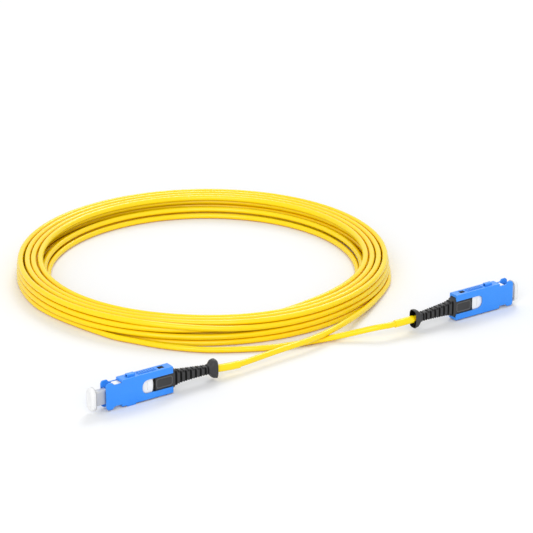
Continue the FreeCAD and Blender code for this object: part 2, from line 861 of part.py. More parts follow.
def tube(name, points, diameter):
    wire, radii = route_wire(points)
    start = FreeCAD.Vector(*points[0])
    heading = FreeCAD.Vector(*points[1]) - start
    ring = Part.Wire(Part.makeCircle(diameter / 2, start, heading))
    solid = wire.makePipeShell([ring], True, False)
    expected = math.pi * diameter ** 2 / 4 * wire.Length
    if abs(solid.Volume / expected - 1) > 0.01:
        raise RuntimeError(f"{name}: volume {solid.Volume:.2f}, section times length {expected:.2f}")
    print(f"{name}: {wire.Length:.1f} mm long, arc radii {', '.join(f'{r:.1f}' for r in radii)}")
    return solid


def fibre_pair(end):
    # The two coated fibres fan out from the cable's end into the ferrules.
    name = f"fibre_pair_{end.letter}"
    start = (at.post_end - dims.seat_clearance).number
    fan_start = (at.back_end + dims.fan_margin).number
    fan_end = (at.back_start + dims.chamber_wall).number
    fibres = []
    for side in (1, -1):
        low = dims.fibre_spacing.number / 2 * side
        high = dims.ferrule_pitch.number / 2 * side
        places = [(start, low), (fan_start, low), (fan_end, high), (at.flange_back.number, high)]
        points = [FreeCAD.Vector(x, 0, z) for x, z in places]
        corners = []
        for step in range(fibre_sides + 1):
            angle = 2 * math.pi * step / fibre_sides
            spoke = FreeCAD.Vector(0, math.cos(angle), math.sin(angle))
            corners.append(points[0] + spoke * (dims.fibre_diameter.number / 2))
        fibres.append(mitred(points, Part.makePolygon(corners)))
    item = document.addObject("Part::Feature", name)
    item.Shape = Part.Compound(fibres)
    keep(item, name, end)


def coil():
    # The turns' outer shape as one ring that lies on the floor.
    body = start_body("coil")
    profile = draw(body, "XZ_Plane", "profile", [[
        (dims.coil_bottom_inside, 0),
        (dims.coil_bottom_outside, 0),
        (dims.coil_top_outside, dims.coil_height),
        (dims.coil_top_inside, dims.coil_height),
    ]])
    revolve(body, profile, "V_Axis")
    bind(body, "Placement.Base.x", dims.coil_x)
    bind(body, "Placement.Base.y", dims.coil_y)
    pieces["coil"] = body


def tail(end, first_run, points):
    # The cable's free stretch from the sleeve's rear face to the coil.
    name = f"tail_{end.letter}"
    yaw = math.radians(dims.plug_yaw.number + end.turn)
    height = (dims.foot_height + dims.housing_height / 2).number
    reach = at.sleeve_end.number
    start_x = end.nose_x.number + reach * math.cos(yaw)
    start_y = end.nose_y.number + reach * math.sin(yaw)
    straight = (start_x + first_run * math.cos(yaw), start_y + first_run * math.sin(yaw), height)
    route = [(start_x, start_y, height), straight] + points
    item = document.addObject("Part::Feature", name)
    item.Shape = tube(name, route, dims.cable_diameter.number)
    pieces[name] = item


def plug(end):
    outer_housing(end)
    dust_cap(end)
    front_body(end)
    for level, side in (("upper", 1), ("lower", -1)):
        ferrule(end, level, side)
        spring(end, level, side)
    back_body(end)
    crimp_ring(end)
    boot(end)
    cable_end(end)
    sleeve(end)
    fibre_pair(end)


end_a = SimpleNamespace(
    letter="a", turn=0, nose_x=dims.plug_a_x, nose_y=dims.plug_a_y, cap_forward=dims.cap_drawn,
)
end_b = SimpleNamespace(letter="b", turn=180, nose_x=dims.plug_b_x, nose_y=dims.plug_b_y, cap_forward=0)
plug(end_a)
plug(end_b)
coil()
tail(end_a, 12.5, [
    (-2.37, 1.78, 6.0),
    (9.33, 15.18, 6.0),
    (18.34, 33.28, 3.2),
    (25.74, 54.28, 1.0),
    (27.34, 70.78, 1.0),
])
tail(end_b, 10.0, [
    (6.63, 8.18, 1.0),
    (-6.37, 4.98, 1.0),
    (-23.86, 2.18, 1.0),
    (-43.87, 3.68, 1.0),
    (-62.37, 12.18, 1.0),
    (-75.36, 23.28, 1.0),
])

document.recompute()
for item in document.Objects:
    if "Invalid" in item.State or "Error" in item.State:
        raise RuntimeError(f"{item.Name} failed: {item.State}")
for name, item in pieces.items():
    shape = item.Shape
    if shape.isNull() or not shape.isValid() or not shape.Solids:
        raise RuntimeError(f"{name} has no valid solid")
for name, item in pieces.items():
    item.Shape.exportStep(f"parts/{name}.step")
print(f"{len(pieces)} pieces written")
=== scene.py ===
import json
import math

import bmesh
import bpy
from mathutils import Matrix, Vector


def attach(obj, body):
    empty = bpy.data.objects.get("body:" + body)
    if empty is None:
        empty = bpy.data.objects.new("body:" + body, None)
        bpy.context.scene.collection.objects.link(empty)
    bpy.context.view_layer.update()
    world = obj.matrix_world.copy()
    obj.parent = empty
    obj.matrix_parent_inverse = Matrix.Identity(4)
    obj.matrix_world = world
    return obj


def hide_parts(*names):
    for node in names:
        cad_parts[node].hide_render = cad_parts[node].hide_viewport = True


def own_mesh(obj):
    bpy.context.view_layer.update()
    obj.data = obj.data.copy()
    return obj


# A duplex fibre patch cable on a white table: two narrow blue plugs and a coil of yellow cable.
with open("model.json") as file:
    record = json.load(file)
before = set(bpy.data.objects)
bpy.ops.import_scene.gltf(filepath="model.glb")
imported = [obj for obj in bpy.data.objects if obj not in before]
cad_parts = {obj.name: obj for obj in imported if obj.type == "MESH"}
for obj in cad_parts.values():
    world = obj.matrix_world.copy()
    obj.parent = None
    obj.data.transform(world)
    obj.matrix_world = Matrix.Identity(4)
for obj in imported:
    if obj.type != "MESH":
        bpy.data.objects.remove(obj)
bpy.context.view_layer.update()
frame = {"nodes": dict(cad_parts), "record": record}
millimetre = 0.001

# Both plugs are described from the housing's front edge: x runs back to the cable, y across, z up.
ends = {
    "a": {"nose": (-64.965, -41.744, 4.8), "yaw": 34.34},
    "b": {"nose": (67.235, 43.296, 4.8), "yaw": 214.34},
}


def plugPlace(letter):
    end = ends[letter]
    turn = Matrix.Rotation(math.radians(end["yaw"]), 4, "Z")
    return Matrix.Scale(millimetre, 4) @ Matrix.Translation(end["nose"]) @ turn


def onPlug(letter, x, y, z):
    return plugPlace(letter) @ Vector((x, y, z))


# camera, fitted to the outlines of the coil and both plugs: millimetres, and degrees below level
cameraSizes = {
    "place": (-14.92, -739.78, 325.67), "look down": 21.72, "lens": 168.86, "sensor": 36, "nearest": 10,
}
cameraData = bpy.data.cameras.new("camera")
cameraData.lens = cameraSizes["lens"]
cameraData.sensor_width = cameraSizes["sensor"]
cameraData.clip_start = cameraSizes["nearest"] * millimetre
camera = bpy.data.objects.new("camera", cameraData)
camera.location = Vector(cameraSizes["place"]) * millimetre
camera.rotation_euler = (math.radians(90 - cameraSizes["look down"]), 0, 0)
bpy.context.scene.collection.objects.link(camera)
bpy.context.scene.camera = camera
bpy.context.scene.view_settings.view_transform = "Standard"
print("camera placed")


def shade(red, green, blue):
    # The linear colour of a screen colour from 0 to 255.
    def linear(value):
        value /= 255
        return value / 12.92 if value <= 0.04045 else ((value + 0.055) / 1.055) ** 2.4
    return (linear(red), linear(green), linear(blue), 1)


class Signal:
    # A node's output. Arithmetic on it adds Math nodes, so a mask reads as a plain sum.
    def __init__(self, finish, socket):
        self.finish = finish
        self.socket = socket

    def reckon(self, operation, *values):
        return self.finish.node("ShaderNodeMath", {"operation": operation}, dict(enumerate(values)))

    def __add__(self, other):
        return self.reckon("ADD", self, other)

    def __radd__(self, other):
        return self.reckon("ADD", other, self)

    def __sub__(self, other):
        return self.reckon("SUBTRACT", self, other)

    def __rsub__(self, other):
        return self.reckon("SUBTRACT", other, self)

    def __mul__(self, other):
        return self.reckon("MULTIPLY", self, other)

    def __rmul__(self, other):
        return self.reckon("MULTIPLY", other, self)

    def __gt__(self, other):
        return self.reckon("GREATER_THAN", self, other)

    def __lt__(self, other):
        return self.reckon("LESS_THAN", self, other)

    def clamped(self):
        return self.reckon("MINIMUM", self.reckon("MAXIMUM", self, 0.0), 1.0)


# samples of the rounded normals and of the painted shade in recesses, and the gain of the edge wear mask
nodeSizes = {"bevel samples": 6, "shade samples": 8, "edge gain": 4.0}


class Finish:
    # A material whose nodes all come from one method.
    def __init__(self, name, tree=None):
        if tree is None:
            self.material = bpy.data.materials.new(name)
            self.material.use_nodes = True
            tree = self.material.node_tree
        self.tree = tree
        self.tree.nodes.clear()

    def node(self, kind, settings=None, sockets=None, output=0):
        made = self.tree.nodes.new(kind)
        for name, value in (settings or {}).items():
            setattr(made, name, value)
        for place, value in (sockets or {}).items():
            if isinstance(value, Signal):
                self.tree.links.new(value.socket, made.inputs[place])
            else:
                made.inputs[place].default_value = value
        if made.outputs:
            return Signal(self, made.outputs[output])

    def place(self):
        # Metres in the shared frame.
        return self.node("ShaderNodeTexCoord", output="Object")

    def noise(self, spot, size, detail=2.0, roughness=0.5, stretch=None):
        if stretch:
            spot = self.node("ShaderNodeMapping", {}, {"Vector": spot, "Scale": stretch})
        return self.node("ShaderNodeTexNoise", {}, {
            "Vector": spot, "Scale": 1 / size, "Detail": detail, "Roughness": roughness,
        })

    def blend(self, factor, first, second):
        # The Mix node's two colours are its sockets 6 and 7, and their mix is its output 2.
        return self.node("ShaderNodeMix", {"data_type": "RGBA", "blend_type": "MIX"},
                         {0: factor, 6: first, 7: second}, 2)

    def rounded(self, radius):
        # The normal as if edges were rounded by radius.
        samples = nodeSizes["bevel samples"]
        return self.node("ShaderNodeBevel", {"samples": samples}, {"Radius": radius})

    def surface(self, colour, roughness, height=None, depth=0.0, soft=None, **constants):
        # depth is how far the bump reaches in metres, and soft the radius that rounds the edges.
        normal = None
        if soft:
            normal = self.rounded(soft)
        if height is not None:
            sockets = {"Strength": 1.0, "Distance": depth, "Height": height}
            if normal:
                sockets["Normal"] = normal
            normal = self.node("ShaderNodeBump", {}, sockets)
        sockets = {"Base Color": colour, "Roughness": roughness}
        if normal:
            sockets["Normal"] = normal
        sockets.update({name.replace("_", " "): value for name, value in constants.items()})
        shader = self.node("ShaderNodeBsdfPrincipled", {}, sockets)
        self.node("ShaderNodeOutputMaterial", {}, {"Surface": shader})
        return self.material

    def edges(self, reach):
        # 0 on flat faces, rising towards 1 where the surface turns within reach.
        rounded = self.rounded(reach)
        plain = self.node("ShaderNodeNewGeometry", output="Normal")
        along = self.node("ShaderNodeVectorMath", {"operation": "DOT_PRODUCT"}, {0: rounded, 1: plain},
                          "Value")
        return ((1 - along) * nodeSizes["edge gain"]).clamped()

    def creviceShade(self, reach, limit, gain):
        # Painted shade: 0 on open faces, rising towards 1 where other faces stand within reach.
        samples = nodeSizes["shade samples"]
        openness = self.node("ShaderNodeAmbientOcclusion", {"samples": samples}, {"Distance": reach}, "AO")
        return ((limit - openness) * gain).clamped()


# finishes: colours are screen colours from 0 to 255; sizes, depths, reaches and soft edges are metres
# Each plastic carries a dark colour that is painted shade in its recesses; the boot also carries a near
# black that is painted shade in its grooves, cheek gaps, collar and catch window, and its wear colour
# doubles as a painted highlight on its cheek frames.
plasticLooks = {
    "blue housing plastic": {
        "colour": (58, 151, 250), "deep": (44, 137, 244), "wear and highlight": (112, 180, 254),
        "creviceShade": (10, 52, 140), "specular": 0.4, "roughness": 0.34, "grain": 0.00016,
        "depth": 0.000004, "soft": 0.00022, "scuff": 0.10,
    },
    "black boot rubber": {
        "colour": (66, 66, 67), "deep": (56, 56, 57), "wear and highlight": (104, 104, 105), "hollow": (2, 2, 2),
        "creviceShade": (5, 5, 5), "specular": 0.22, "roughness": 0.46, "grain": 0.00022,
        "depth": 0.000008, "soft": 0.00018, "scuff": 0.14,
    },
    "white body plastic": {
        "colour": (246, 246, 246), "deep": (240, 241, 242), "wear and highlight": (250, 250, 250),
        "creviceShade": (176, 178, 184), "specular": 0.5, "roughness": 0.40, "grain": 0.00018,
        "depth": 0.000004, "soft": 0.00012, "scuff": 0.05,
    },
    "clear-white cap plastic": {
        "colour": (236, 236, 236), "deep": (230, 231, 232), "wear and highlight": (240, 240, 240),
        "creviceShade": (214, 216, 220), "specular": 0.5, "roughness": 0.42, "grain": 0.0002,
        "depth": 0.000005, "soft": 0.0003, "scuff": 0.05,
    },
}
# fine detail of every plastic; wear spread is counted in soft edges
plasticDetail = {
    "flow size": 0.006, "flow roughness": 0.08, "frame highlight tint": 0.8,
    "scratch size": 0.0004, "scratch stretch": (1.0, 6.0, 2.5), "scratch cut": 0.62, "scratch height": 0.3,
    "wear size": 0.0011, "wear spread": 1.5, "wear gain": 1.3, "wear tint": 0.55, "wear roughness": 0.12,
    # painted shade in recesses: how far it looks, the openness below which it starts, and how fast it
    # darkens
    "creviceShade": {"reach": 0.0012, "limit": 0.7, "gain": 1.6},
}


def mouldedPlastic(name, look):
    # Slow flow marks, a fine grain, scratches, wear along the edges, a painted highlight and painted shade
    # where the mesh marks them, and painted shade in recesses.
    fine = plasticDetail
    finish = Finish(name)
    spot = finish.place()
    flow = finish.noise(spot, fine["flow size"], detail=3.0)
    grain = finish.noise(spot, look["grain"], roughness=0.6)
    scratches = finish.noise(spot, fine["scratch size"], detail=3.0, roughness=0.7,
                             stretch=fine["scratch stretch"])
    edges = finish.edges(look["soft"] * fine["wear spread"])
    patches = finish.noise(spot, fine["wear size"], detail=4.0, roughness=0.65)
    wear = (edges * patches * fine["wear gain"]).clamped()
    body = finish.blend(flow, shade(*look["deep"]), shade(*look["colour"]))
    colour = finish.blend(wear * fine["wear tint"], body, shade(*look["wear and highlight"]))
    # painted highlight where the mesh marks a raised cheek frame, and painted shade where it marks grooves,
    # gaps and openings
    if "hollow" in look:
        frameHighlight = finish.node("ShaderNodeAttribute", {"attribute_name": "frameHighlight"}, output="Fac")
        hollow = finish.node("ShaderNodeAttribute", {"attribute_name": "hollow"}, output="Fac")
        colour = finish.blend(frameHighlight * fine["frame highlight tint"], colour, shade(*look["wear and highlight"]))
        colour = finish.blend(hollow, colour, shade(*look["hollow"]))
    # painted shade in recesses
    colour = finish.blend(finish.creviceShade(**fine["creviceShade"]), colour, shade(*look["creviceShade"]))
    scuff = (scratches > fine["scratch cut"]) * look["scuff"]
    base = look["roughness"] - fine["flow roughness"] / 2
    roughness = (flow * fine["flow roughness"] + scuff + wear * fine["wear roughness"] + base).clamped()
    height = grain + scratches * fine["scratch height"]
    return finish.surface(colour, roughness, height, look["depth"], look["soft"],
                          Specular_IOR_Level=look["specular"])


# each jacket's orange is painted shade where the turns crowd each other
jacketLooks = {
    "yellow cable jacket": {
        "colour": (253, 224, 8), "deep": (250, 214, 4), "creviceShade": (240, 160, 0), "roughness": 0.2,
    },
    "yellow sleeve": {
        "colour": (255, 228, 1), "deep": (252, 219, 0), "creviceShade": (214, 140, 0), "roughness": 0.24,
    },
}
jacketDetail = {
    "cloud size": 0.018, "cloud roughness": 0.06, "grain size": 0.00035, "depth": 0.000006, "specular": 0.38,
    "mark size": 0.0022, "mark cut": 0.6, "mark gain": 2.0, "mark tint": 0.25, "mark colour": (246, 214, 70),
    "mark roughness": 0.1, "mark height": 0.5,
    # how far the painted shade between the turns looks, where it starts, and how fast it darkens
    "creviceShade": {"reach": 0.0014, "limit": 0.74, "gain": 1.25},
}


def cableJacket(name, look):
    # Extruded jacket: slow changes of colour, a fine matt grain, handling marks, and painted shade in
    # recesses and between the turns.
    fine = jacketDetail
    finish = Finish(name)
    spot = finish.place()
    cloud = finish.noise(spot, fine["cloud size"], detail=3.0)
    grain = finish.noise(spot, fine["grain size"], detail=3.0, roughness=0.6)
    marks = finish.noise(spot, fine["mark size"], detail=4.0, roughness=0.7)
    colour = finish.blend(cloud, shade(*look["deep"]), shade(*look["colour"]))
    handled = ((marks - fine["mark cut"]) * fine["mark gain"]).clamped() * fine["mark tint"]
    colour = finish.blend(handled, colour, shade(*fine["mark colour"]))
    # painted shade where other surfaces crowd close
    colour = finish.blend(finish.creviceShade(**fine["creviceShade"]), colour, shade(*look["creviceShade"]))
    base = look["roughness"] - (fine["cloud roughness"] + fine["mark roughness"]) / 2
    roughness = (cloud * fine["cloud roughness"] + marks * fine["mark roughness"] + base).clamped()
    return finish.surface(colour, roughness, grain + marks * fine["mark height"], fine["depth"],
                          Specular_IOR_Level=fine["specular"])


ceramicLook = {
    "colour": (242, 242, 239), "deep": (232, 232, 228), "cloud size": 0.0015, "grain size": 0.00008,
    "roughness": 0.1, "grain roughness": 0.06, "depth": 0.0000008, "soft": 0.00004,
}


def ceramic(name, look):
    finish = Finish(name)
    spot = finish.place()
    cloud = finish.noise(spot, look["cloud size"])
    grain = finish.noise(spot, look["grain size"])
    colour = finish.blend(cloud, shade(*look["deep"]), shade(*look["colour"]))
    roughness = grain * look["grain roughness"] + look["roughness"]
    return finish.surface(colour, roughness, grain, look["depth"], look["soft"])


metalLooks = {
    "spring steel": {"colour": (196, 198, 202), "deep": (168, 170, 176), "roughness": 0.2},
    "plated metal": {"colour": (206, 200, 186), "deep": (182, 176, 160), "roughness": 0.22},
}
metalDetail = {
    "drawn size": 0.0003, "drawn stretch": (1.0, 1.0, 5.0), "drawn roughness": 0.14, "cloud size": 0.002,
    "depth": 0.000002,
}


def metal(name, look):
    fine = metalDetail
    finish = Finish(name)
    spot = finish.place()
    drawn = finish.noise(spot, fine["drawn size"], detail=3.0, roughness=0.6, stretch=fine["drawn stretch"])
    cloud = finish.noise(spot, fine["cloud size"], detail=3.0)
    colour = finish.blend(cloud, shade(*look["deep"]), shade(*look["colour"]))
    roughness = drawn * fine["drawn roughness"] + look["roughness"]
    return finish.surface(colour, roughness, drawn, fine["depth"], Metallic=1.0)


coatingLook = {
    "colour": (236, 242, 246), "deep": (214, 226, 236), "cloud size": 0.001,
    "roughness": 0.15, "cloud roughness": 0.1, "depth": 0.000001,
}


def fibreCoating(name, look):
    finish = Finish(name)
    cloud = finish.noise(finish.place(), look["cloud size"])
    colour = finish.blend(cloud, shade(*look["deep"]), shade(*look["colour"]))
    roughness = cloud * look["cloud roughness"] + look["roughness"]
    return finish.surface(colour, roughness, cloud, look["depth"])


finishes = {name: mouldedPlastic(name, look) for name, look in plasticLooks.items()}
finishes.update({name: cableJacket(name, look) for name, look in jacketLooks.items()})
finishes["white ceramic"] = ceramic("white ceramic", ceramicLook)
finishes.update({name: metal(name, look) for name, look in metalLooks.items()})
finishes["fibre coating"] = fibreCoating("fibre coating", coatingLook)

nodeFinishes = {
    "outer_housing": "blue housing plastic",
    "boot": "black boot rubber",
    "front_body": "white body plastic",
    "dust_cap": "clear-white cap plastic",
    "back_body": "plated metal",
    "crimp_ring": "plated metal",
    "ferrule_upper": "white ceramic",
    "ferrule_lower": "white ceramic",
    "spring_upper": "spring steel",
    "spring_lower": "spring steel",
    "cable_end": "yellow cable jacket",
    "cable_sleeve": "yellow sleeve",
    "fibre_pair": "fibre coating",
}


def dress(piece, finishName):
    piece.data.materials.clear()
    piece.data.materials.append(finishes[finishName])


for nodeName, node in frame["nodes"].items():
    kind = nodeName[:-2] if nodeName[-2:] in ("_a", "_b") else nodeName
    dress(node, nodeFinishes.get(kind, "yellow cable jacket"))
print("finishes mixed")


# cable: out of plug a, fourteen and two thirds turns, and into plug b, in millimetres and degrees
cableSizes = {
    "diameter": 2.0, "fineness": 5, "sides": 4, "laps": 14, "points a turn": 24,
    "entry radius": 64.7, "entry angle": -8.5, "entry blend": 15.0,
    "exit radius": 64.8, "exit angle": 237.0, "exit blend": 30.0,
    "looseness": 0.12, "slow wave": (9.3, 1.2, 3.1), "quick wave": (0.6, 15.7, 2),
}
coilCentre = (-37.07, 72.03)

# each row of turns: height of its middle, and radius of its outermost and innermost turn
coilRows = {
    "floor": (1.0, 64.06, 53.99),
    "second": (3.03, 64.0, 55.4),
    "third": (5.06, 63.9, 58.3),
    "top": (7.1, 63.45, 56.67),
}


def turnPlace(row, rank, count):
    height, outer, inner = coilRows[row]
    return outer - (outer - inner) * rank / (count - 1), height


def windings():
    # Where the cable changes place in the coil. Each shift gives a lap, the angles it lies between, the
    # row, the turn's rank in it and the row's count, and how far the cable bulges outward midway.
    moves = []

    def shift(lap, start, finish, row, rank, count, bulge=0.0):
        radius, height = turnPlace(row, rank, count)
        moves.append((lap * 360 + start, lap * 360 + finish, radius, height, bulge))

    for lap in range(4):
        shift(lap, 60, 120, "floor", lap + 1, 5)
        shift(lap, 238, 262, "floor", lap, 4)
        if lap < 3:
            shift(lap, 280, 328, "floor", lap, 3)
            shift(lap, 329, 351, "floor", lap + 1, 4)
    shift(3, 265, 325, "top", 3, 4, -1.7)
    for lap, rank in ((4, 2), (5, 1), (6, 0)):
        shift(lap, 255, 305, "top", rank, 4)
    shift(7, 250, 300, "third", 0, 3, 0.75)
    for lap, rank in ((8, 1), (9, 2)):
        shift(lap, 245, 295, "third", rank, 3)
    shift(10, 240, 290, "second", 3, 4, -0.9)
    for lap, rank in ((11, 2), (12, 1), (13, 0)):
        shift(lap, 60, 120, "second", rank, 3)
        shift(lap, 235, 290, "second", rank, 4)
    shift(14, 60, 120, "floor", 0, 5, 0.5)
    return moves


def within(value):
    return min(max(value, 0), 1)


def coilPoints():
    sizes = cableSizes
    step = 360 / sizes["points a turn"]
    last = sizes["laps"] * 360 + sizes["exit angle"]
    inset = 0.75 + 0.25 * math.cos(math.radians(step))  # the spline's radius where its points have 1
    blendIn, blendOut = sizes["entry blend"], sizes["exit blend"]
    pace, sway, swayPace = sizes["slow wave"]
    share, quickPace, offset = sizes["quick wave"]
    points = []
    angle = sizes["entry angle"]
    moves = windings()
    while angle < last - step / 2:
        radius, height = turnPlace("floor", 0, 4)
        for start, finish, nextRadius, nextHeight, bulge in moves:
            part = within((angle - start) / (finish - start))
            part = part * part * (3 - 2 * part)
            radius += (nextRadius - radius) * part + bulge * 4 * part * (1 - part)
            height += (nextHeight - height) * part
        arriving = within((blendIn - angle) / (blendIn - sizes["entry angle"]))
        leaving = within((angle - last + blendOut) / blendOut)
        radius += (sizes["entry radius"] - radius) * arriving + (sizes["exit radius"] - radius) * leaving
        turns = angle / 360
        slack = math.sin(turns * pace + sway * math.sin(turns * swayPace))
        slack += share * math.sin(turns * quickPace + offset)
        radius += sizes["looseness"] * slack * (1 - arriving) * (1 - leaving)
        bearing = math.radians(angle)
        points.append((
            coilCentre[0] + radius / inset * math.cos(bearing),
            coilCentre[1] + radius / inset * math.sin(bearing),
            height,
        ))
        angle += step
    return points


def axisPoints(letter, places):
    # Points on a plug's axis, in millimetres of the shared frame; drop lowers them.
    return [tuple(onPlug(letter, x, 0, -drop) / millimetre) for x, drop in places]


tailA = [
    (-19.3, -10.1, 3.05), (-11.9, -3.7, 3.15), (-4.5, 2.2, 3.2), (-0.7, 5.3, 3.25), (5.0, 11.1, 3.3),
    (10.9, 19.4, 3.2), (14.9, 27.1, 2.6), (19.1, 36.4, 1.8), (23.0, 46.7, 1.2), (26.0, 56.1, 1.0),
]
tailB = [
    (-66.2, 13.3, 1.0), (-59.4, 10.3, 1.0), (-52.6, 7.0, 1.0), (-45.8, 4.5, 1.0), (-35.8, 2.2, 1.0),
    (-26.8, 2.4, 1.0), (-19.3, 3.1, 1.0), (-11.9, 4.5, 1.0), (-4.4, 7.3, 1.0), (3.1, 10.4, 1.1),
    (6.9, 11.3, 1.5), (14.4, 12.8, 2.7), (18.2, 13.4, 3.4), (22.0, 13.6, 4.2),
]
startA = axisPoints("a", [(23.0, 0), (30.0, 0.12), (34.5, 0.4), (38.0, 0.75), (41.5, 1.2), (44.5, 1.52),
                          (47.5, 1.75), (50.2, 1.88)])
startB = axisPoints("b", [(50.2, 0.5), (47.0, 0.52), (42.5, 0.54), (38.0, 0.4), (33.0, 0.18), (29.0, 0.05),
                          (23.0, 0)])
route = startA + tailA + coilPoints() + tailB + startB


def smoothCurve(name, points, sizes):
    data = bpy.data.curves.new(name, "CURVE")
    data.dimensions = "3D"
    data.resolution_u = sizes["fineness"]
    data.bevel_depth = sizes["diameter"] / 2 * millimetre
    data.bevel_resolution = sizes["sides"]
    data.use_fill_caps = True
    spline = data.splines.new("NURBS")
    spline.points.add(len(points) - 1)
    for point, place in zip(spline.points, points):
        point.co = (*(Vector(place) * millimetre), 1)
    spline.order_u = 3
    spline.use_endpoint_u = True
    spline.use_smooth = True
    piece = bpy.data.objects.new(name, data)
    bpy.context.scene.collection.objects.link(piece)
    return piece


def lineOf(piece):
    # The points of a curve's own line, read with its thickness left out.
    thickness = piece.data.bevel_depth
    piece.data.bevel_depth = 0
    bpy.context.view_layer.update()
    line = bpy.data.meshes.new_from_object(piece.evaluated_get(bpy.context.evaluated_depsgraph_get()))
    places = [vertex.co.copy() for vertex in line.vertices]
    bpy.data.meshes.remove(line)
    piece.data.bevel_depth = thickness
    return places


cable = smoothCurve("cable", route, cableSizes)
dress(cable, "yellow cable jacket")
cableLine = lineOf(cable)
cableLength = sum((after - before).length for before, after in zip(cableLine, cableLine[1:]))
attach(cable, "cable")
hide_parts("coil", "tail_a", "tail_b", "cable_end_a", "cable_end_b")
print(f"cable wound, {cableLength:.3f} m long")


meshSizes = {"sharp from": 35, "weld": 0.000002}  # degrees, and metres


def finished(name, form, letter, body, finishName, replaced):
    # A form drawn in a plug's millimetres, or in metres where letter is None, becomes a piece.
    bmesh.ops.recalc_face_normals(form, faces=form.faces)
    if letter:
        bmesh.ops.transform(form, matrix=plugPlace(letter), verts=form.verts)
    data = bpy.data.meshes.new(name)
    form.to_mesh(data)
    form.free()
    data.shade_smooth()
    data.set_sharp_from_angle(angle=math.radians(meshSizes["sharp from"]))
    piece = bpy.data.objects.new(name, data)
    bpy.context.scene.collection.objects.link(piece)
    dress(piece, finishName)
    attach(piece, body)
    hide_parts(replaced)
    return piece


def solidForm(nodeName):
    # A merged copy of a CAD solid's mesh, in metres.
    form = bmesh.new()
    form.from_mesh(frame["nodes"][nodeName].data)
    bmesh.ops.remove_doubles(form, verts=form.verts, dist=meshSizes["weld"])
    return form


def cut(form, place, direction, clear=False):
    # Edges where a plane meets the form; clear takes away what lies beyond it.
    bmesh.ops.bisect_plane(form, geom=form.verts[:] + form.edges[:] + form.faces[:],
                           plane_co=place, plane_no=direction, clear_outer=clear)


def closeCut(form):
    bmesh.ops.triangle_fill(form, edges=[edge for edge in form.edges if edge.is_boundary])


def addForm(form, extra):
    spare = bpy.data.meshes.new("spare")
    extra.to_mesh(spare)
    extra.free()
    form.from_mesh(spare)
    bpy.data.meshes.remove(spare)


def joinHoops(form, first, second):
    # Faces between two hoops that have the same number of corners.
    sides = {edge for corner in first + second for edge in corner.link_edges}
    rims = [edge for edge in sides if (edge.verts[0] in first and edge.verts[1] in first)
            or (edge.verts[0] in second and edge.verts[1] in second)]
    bmesh.ops.bridge_loops(form, edges=rims)


def closedLoft(form, hoops):
    for first, second in zip(hoops, hoops[1:]):
        joinHoops(form, first, second)
    bmesh.ops.contextual_create(form, geom=hoops[0])
    bmesh.ops.contextual_create(form, geom=hoops[-1])


# ribbed boots: a steep root, side and roof grooves half a pitch apart, and a flared collar
# outline holds places and half heights; neck, flare and cup hold places, half widths and half heights
bootSizes = {
    "root": 24.3, "tail": 37.2, "half width": (1.66, 1.5), "squareness": 4.5, "corners": 44,
    "outline": [
        (24.3, 3.4), (24.9, 3.12), (25.6, 2.78), (26.4, 2.45), (27.4, 2.17), (32.4, 1.78), (37.2, 1.45),
    ],
    "first groove": 25.5, "pitch": 1.83, "groove": 0.84, "ramp": 0.035, "spare": 0.1,
    "side depth": 0.5, "side share": 0.9, "least half width": 1.08, "roof depth": 0.3,
    "collar squareness": 3.6,
    "neck": [(37.3, 1.22, 1.24), (37.85, 1.22, 1.24)],
    "flare": [
        (37.92, 1.5, 1.5), (38.4, 1.54, 1.56), (38.75, 1.6, 1.76), (39.0, 1.68, 2.14), (39.25, 1.76, 2.56),
        (39.55, 1.83, 2.86), (40.0, 1.88, 3.03), (40.6, 1.93, 3.12), (40.9, 1.95, 3.14), (40.97, 1.92, 3.1),
        (41.03, 1.82, 3.0),
    ],
    "cup": [
        (40.98, 1.73, 2.91), (40.9, 1.67, 2.84), (40.6, 1.6, 2.7), (40.2, 1.56, 2.5), (39.8, 1.5, 2.2),
        (39.4, 1.47, 1.92), (39.0, 1.46, 1.74), (38.5, 1.43, 1.5), (38.05, 1.4, 1.42), (38.0, 1.36, 1.38),
    ],
    "droop": {"a": 0.9, "b": 0.5}, "droop length": 16.7, "droop bend": 1.6, "overlap": 0.05,
    # painted shade: the boot's faces in front of its cheeks and above and below them go near black, and so
    # does the catch window
    "gapShade": {"front": 17.85, "half height": 1.95, "blur": 0.03, "edge": 0.02, "before root": 0.4},
    "catch from": 3.8, "catch top": 4.42,
    "frame": {
        "start": 18.1, "end": 24.0, "half height": 1.62, "corner": 0.8, "corner steps": 6, "line": 0.22,
        "cheek": 1.65, "height": 0.1, "sunk": 0.2,
    },
}


def halfHeightAt(x):
    for (start, low), (end, high) in zip(bootSizes["outline"], bootSizes["outline"][1:]):
        if start <= x <= end:
            return low + (high - low) * (x - start) / (end - start)


def bootStations():
    # Each station is its place, half width, half height and what is sunk there: side, roof or nothing.
    sizes = bootSizes
    half, ramp = sizes["groove"] / 2, sizes["ramp"]
    places = {x: None for x, _ in sizes["outline"]}
    for kind, shift in (("side", 0), ("roof", sizes["pitch"] / 2)):
        centre = sizes["first groove"] + shift
        while centre + half < sizes["tail"] - sizes["spare"]:
            places = {x: sunk for x, sunk in places.items() if abs(x - centre) > half + ramp}
            for x, sunk in ((centre - half - ramp, None), (centre - half + ramp, kind),
                            (centre + half - ramp, kind), (centre + half + ramp, None)):
                places[x] = sunk
            centre += sizes["pitch"]
    wide, narrow = sizes["half width"]
    stations = []
    for x, sunk in sorted(places.items()):
        width = wide + (narrow - wide) * (x - sizes["root"]) / (sizes["tail"] - sizes["root"])
        height = halfHeightAt(x)
        if sunk == "side":
            width = max(width - sizes["side depth"], sizes["least half width"])
        if sunk == "roof":
            height -= sizes["roof depth"]
        stations.append((x, width, height, sunk))
    return stations


